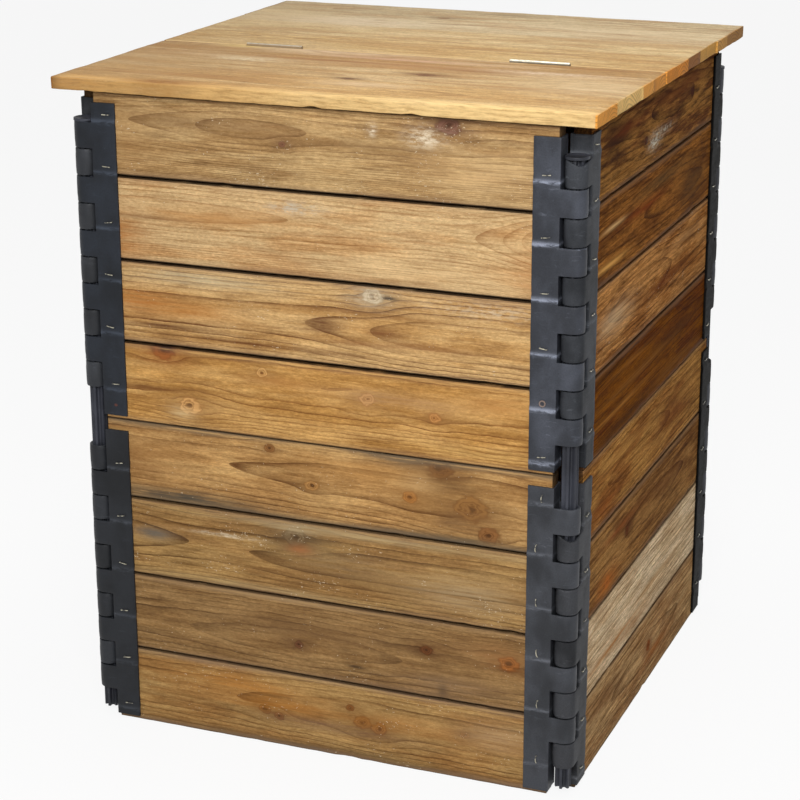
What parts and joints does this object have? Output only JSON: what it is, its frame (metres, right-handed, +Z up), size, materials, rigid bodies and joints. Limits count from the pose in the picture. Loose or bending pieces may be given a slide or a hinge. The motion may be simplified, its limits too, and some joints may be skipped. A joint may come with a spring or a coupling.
{
  "type": "wooden composter",
  "caption": "Square wooden compost bin of two stacked board tiers, laced at the corners by rods through looped plastic strips, under a lid whose front half folds back.",
  "frame": {"origin": "on the ground under the middle of the lid, which is the bottom centre of the whole part", "axes": "+Z up, -Y towards the front that opens under the folding half of the lid, +X to its right"},
  "size_m": [0.66, 0.66, 0.8182],
  "materials": {
    "board_wood": "oiled and weathered softwood, matt, with knots and open grain",
    "lid_wood": "edge-glued pale softwood, planed, matt",
    "strip_plastic": "recycled slate-grey plastic band, matt with a soft sheen and scuffed edges",
    "rod_plastic": "extruded dark grey plastic, slightly glossy on its ridges",
    "staple_wire": "galvanised wire with a yellowish coat",
    "hinge_steel": "zinc-plated steel",
    "screw_steel": "zinc-plated steel"
  },
  "bodies": {
    "front_side": {"front_lower_board_1": "board_wood", "front_lower_board_2": "board_wood", "front_lower_board_3": "board_wood", "front_lower_board_4": "board_wood", "front_upper_board_1": "board_wood", "front_upper_board_2": "board_wood", "front_upper_board_3": "board_wood", "front_upper_board_4": "board_wood", "front_lower_strip_left": "strip_plastic", "front_lower_strip_right": "strip_plastic", "front_upper_strip_left": "strip_plastic", "front_upper_strip_right": "strip_plastic", "front_staples": "staple_wire", "front_rods": "rod_plastic"},
    "right_side": {"right_lower_board_1": "board_wood", "right_lower_board_2": "board_wood", "right_lower_board_3": "board_wood", "right_lower_board_4": "board_wood", "right_upper_board_1": "board_wood", "right_upper_board_2": "board_wood", "right_upper_board_3": "board_wood", "right_upper_board_4": "board_wood", "right_lower_strip_left": "strip_plastic", "right_lower_strip_right": "strip_plastic", "right_upper_strip_left": "strip_plastic", "right_upper_strip_right": "strip_plastic", "right_staples": "staple_wire"},
    "back_side": {"back_lower_board_1": "board_wood", "back_lower_board_2": "board_wood", "back_lower_board_3": "board_wood", "back_lower_board_4": "board_wood", "back_upper_board_1": "board_wood", "back_upper_board_2": "board_wood", "back_upper_board_3": "board_wood", "back_upper_board_4": "board_wood", "back_lower_strip_left": "strip_plastic", "back_lower_strip_right": "strip_plastic", "back_upper_strip_left": "strip_plastic", "back_upper_strip_right": "strip_plastic", "back_staples": "staple_wire", "back_rods": "rod_plastic"},
    "left_side": {"left_lower_board_1": "board_wood", "left_lower_board_2": "board_wood", "left_lower_board_3": "board_wood", "left_lower_board_4": "board_wood", "left_upper_board_1": "board_wood", "left_upper_board_2": "board_wood", "left_upper_board_3": "board_wood", "left_upper_board_4": "board_wood", "left_lower_strip_left": "strip_plastic", "left_lower_strip_right": "strip_plastic", "left_upper_strip_left": "strip_plastic", "left_upper_strip_right": "strip_plastic", "left_staples": "staple_wire"},
    "lid_rear": {"lid_rear_half": "lid_wood", "hinge_rear_leaves": "hinge_steel", "hinge_rear_screws": "screw_steel"},
    "lid_flap": {"lid_front_half": "lid_wood", "hinge_front_leaves": "hinge_steel", "hinge_front_screws": "screw_steel"}
  },
  "joints": [
    {"name": "right_corner", "type": "hinge", "parent": "front_side", "child": "right_side", "pos_m": [0.3, -0.304, 0.4], "axis": [0, 0, 1], "range_deg": [-4.5, 4.5]},
    {"name": "left_corner", "type": "hinge", "parent": "front_side", "child": "left_side", "pos_m": [-0.3, -0.304, 0.4], "axis": [0, 0, 1], "range_deg": [-4.5, 4.5]},
    {"name": "back_corner", "type": "hinge", "parent": "right_side", "child": "back_side", "pos_m": [0.3, 0.296, 0.4], "axis": [0, 0, 1], "range_deg": [-4.5, 4.5]},
    {"name": "lid_lift", "type": "slide", "parent": "front_side", "child": "lid_rear", "axis": [0, 0, 1], "range_m": [0, 0.3]},
    {"name": "lid_fold", "type": "hinge", "parent": "lid_rear", "child": "lid_flap", "pos_m": [0, -0.05, 0.8155], "axis": [-1, 0, 0], "range_deg": [0, 180]}
  ],
  "couplings": [
    {"joint": "left_corner", "follows": "right_corner", "ratio": 1},
    {"joint": "back_corner", "follows": "right_corner", "ratio": -1}
  ]
}
